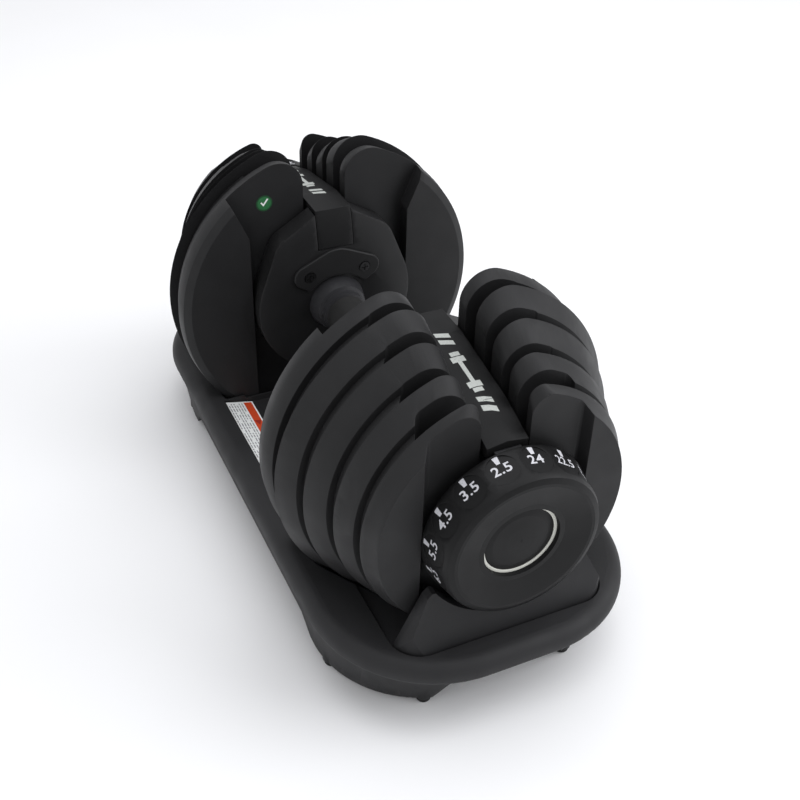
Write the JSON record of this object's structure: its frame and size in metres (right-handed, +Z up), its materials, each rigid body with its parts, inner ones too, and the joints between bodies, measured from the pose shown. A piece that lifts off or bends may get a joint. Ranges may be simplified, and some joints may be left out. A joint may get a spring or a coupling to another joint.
{
  "type": "adjustable dumbbell",
  "caption": "Dial-selected adjustable dumbbell in its storage tray: a handle with a dial at each end over rows of slotted weight plates that stay behind when it is lifted.",
  "frame": {"origin": "on the floor under the middle of the handle", "axes": "+X along the handle towards the right dial, +Z up, +Y across the tray"},
  "size_m": [0.431, 0.2144, 0.2219],
  "materials": {
    "tray_plastic": "fine-grained charcoal moulding",
    "foot_rubber": "soft matte rubber",
    "post_plastic": "plain moulded plastic",
    "screw_steel": "machined screw steel",
    "label_vinyl": "printed white vinyl with an orange band",
    "tube_steel": "drawn steel tube",
    "grip_rubber": "ribbed rubber sleeve",
    "collar_plastic": "satin moulded plastic",
    "housing_plastic": "satin charcoal moulding",
    "bridge_plastic": "satin charcoal moulding",
    "strap_steel": "black powder coat",
    "bush_plastic": "self-lubricating bearing plastic",
    "spring_steel": "bare spring steel",
    "lock_plastic": "glass-filled nylon",
    "shaft_steel": "turned steel",
    "disc_plastic": "glass-filled nylon",
    "dial_plastic": "satin charcoal moulding with white numbers",
    "ring_silver": "bright satin ring",
    "cap_plastic": "fine-grained charcoal moulding",
    "plate_body": "charcoal plastic skin moulded over a metal core"
  },
  "bodies": {
    "base": {"base_tray": "tray_plastic", "base_feet": "foot_rubber", "unlock_posts": "post_plastic", "post_screws": "screw_steel", "instruction_label": "label_vinyl"},
    "handle": {"handle_tube": "tube_steel", "handle_grip": "grip_rubber", "lock_cover_screws": "screw_steel", "bridge_screws": "screw_steel", "grip_collar_right": "collar_plastic", "inner_housing_right": "housing_plastic", "lock_cover_right": "housing_plastic", "bridge_cover_right": "bridge_plastic", "bridge_frame_right": "strap_steel", "bearing_bush_right": "bush_plastic", "detent_spring_right": "spring_steel", "lock_spring_right": "spring_steel", "grip_collar_left": "collar_plastic", "inner_housing_left": "housing_plastic", "lock_cover_left": "housing_plastic", "bridge_cover_left": "bridge_plastic", "bridge_frame_left": "strap_steel", "bearing_bush_left": "bush_plastic", "detent_spring_left": "spring_steel", "lock_spring_left": "spring_steel"},
    "lock_right": {"lock_slider_right": "lock_plastic"},
    "dial_right_set": {"dial_shaft_right": "shaft_steel", "index_wheel_right": "disc_plastic", "selector_disc_1_right": "disc_plastic", "selector_disc_2_right": "disc_plastic", "selector_disc_3_right": "disc_plastic", "selector_disc_4_right": "disc_plastic", "selector_disc_5_right": "disc_plastic", "dial_right": "dial_plastic", "dial_screw_right": "screw_steel", "dial_ring_right": "ring_silver", "dial_cap_right": "cap_plastic"},
    "plate_right_1": {"plate_1_right": "plate_body"},
    "plate_right_2": {"plate_2_right": "plate_body"},
    "plate_right_3": {"plate_3_right": "plate_body"},
    "plate_right_4": {"plate_4_right": "plate_body"},
    "plate_right_5": {"plate_5_right": "plate_body"},
    "lock_left": {"lock_slider_left": "lock_plastic"},
    "dial_left_set": {"dial_shaft_left": "shaft_steel", "index_wheel_left": "disc_plastic", "selector_disc_1_left": "disc_plastic", "selector_disc_2_left": "disc_plastic", "selector_disc_3_left": "disc_plastic", "selector_disc_4_left": "disc_plastic", "selector_disc_5_left": "disc_plastic", "dial_left": "dial_plastic", "dial_screw_left": "screw_steel", "dial_ring_left": "ring_silver", "dial_cap_left": "cap_plastic"},
    "plate_left_1": {"plate_1_left": "plate_body"},
    "plate_left_2": {"plate_2_left": "plate_body"},
    "plate_left_3": {"plate_3_left": "plate_body"},
    "plate_left_4": {"plate_4_left": "plate_body"},
    "plate_left_5": {"plate_5_left": "plate_body"}
  },
  "joints": [
    {"name": "handle_lift", "type": "slide", "parent": "base", "child": "handle", "axis": [0, 0, 1], "range_m": [0, 0.2]},
    {"name": "dial_right_turn", "type": "hinge", "parent": "handle", "child": "dial_right_set", "pos_m": [0.19, 0, 0.121], "axis": [1, 0, 0], "continuous": true},
    {"name": "lock_right_drop", "type": "slide", "parent": "handle", "child": "lock_right", "axis": [0, 0, 1], "range_m": [-0.006, 0], "deforming": ["lock_spring_right"]},
    {"name": "plate_right_1_stay", "type": "slide", "parent": "handle", "child": "plate_right_1", "axis": [0, 0, 1], "range_m": [-0.2, 0]},
    {"name": "plate_right_2_stay", "type": "slide", "parent": "handle", "child": "plate_right_2", "axis": [0, 0, 1], "range_m": [-0.2, 0]},
    {"name": "plate_right_3_stay", "type": "slide", "parent": "handle", "child": "plate_right_3", "axis": [0, 0, 1], "range_m": [-0.2, 0]},
    {"name": "plate_right_4_stay", "type": "slide", "parent": "handle", "child": "plate_right_4", "axis": [0, 0, 1], "range_m": [-0.2, 0]},
    {"name": "plate_right_5_stay", "type": "slide", "parent": "handle", "child": "plate_right_5", "axis": [0, 0, 1], "range_m": [-0.2, 0]},
    {"name": "dial_left_turn", "type": "hinge", "parent": "handle", "child": "dial_left_set", "pos_m": [-0.19, 0, 0.121], "axis": [-1, 0, 0], "continuous": true},
    {"name": "lock_left_drop", "type": "slide", "parent": "handle", "child": "lock_left", "axis": [0, 0, 1], "range_m": [-0.006, 0], "deforming": ["lock_spring_left"]},
    {"name": "plate_left_1_stay", "type": "slide", "parent": "handle", "child": "plate_left_1", "axis": [0, 0, 1], "range_m": [-0.2, 0]},
    {"name": "plate_left_2_stay", "type": "slide", "parent": "handle", "child": "plate_left_2", "axis": [0, 0, 1], "range_m": [-0.2, 0]},
    {"name": "plate_left_3_stay", "type": "slide", "parent": "handle", "child": "plate_left_3", "axis": [0, 0, 1], "range_m": [-0.2, 0]},
    {"name": "plate_left_4_stay", "type": "slide", "parent": "handle", "child": "plate_left_4", "axis": [0, 0, 1], "range_m": [-0.2, 0]},
    {"name": "plate_left_5_stay", "type": "slide", "parent": "handle", "child": "plate_left_5", "axis": [0, 0, 1], "range_m": [-0.2, 0]}
  ],
  "couplings": [
    {"joint": "lock_right_drop", "follows": "handle_lift", "ratio": -0.03},
    {"joint": "plate_right_1_stay", "follows": "handle_lift", "ratio": -1},
    {"joint": "plate_right_2_stay", "follows": "handle_lift", "ratio": -1},
    {"joint": "plate_right_3_stay", "follows": "handle_lift", "ratio": -1},
    {"joint": "plate_right_4_stay", "follows": "handle_lift", "ratio": -1},
    {"joint": "plate_right_5_stay", "follows": "handle_lift", "ratio": -1},
    {"joint": "lock_left_drop", "follows": "handle_lift", "ratio": -0.03},
    {"joint": "plate_left_1_stay", "follows": "handle_lift", "ratio": -1},
    {"joint": "plate_left_2_stay", "follows": "handle_lift", "ratio": -1},
    {"joint": "plate_left_3_stay", "follows": "handle_lift", "ratio": -1},
    {"joint": "plate_left_4_stay", "follows": "handle_lift", "ratio": -1},
    {"joint": "plate_left_5_stay", "follows": "handle_lift", "ratio": -1}
  ]
}
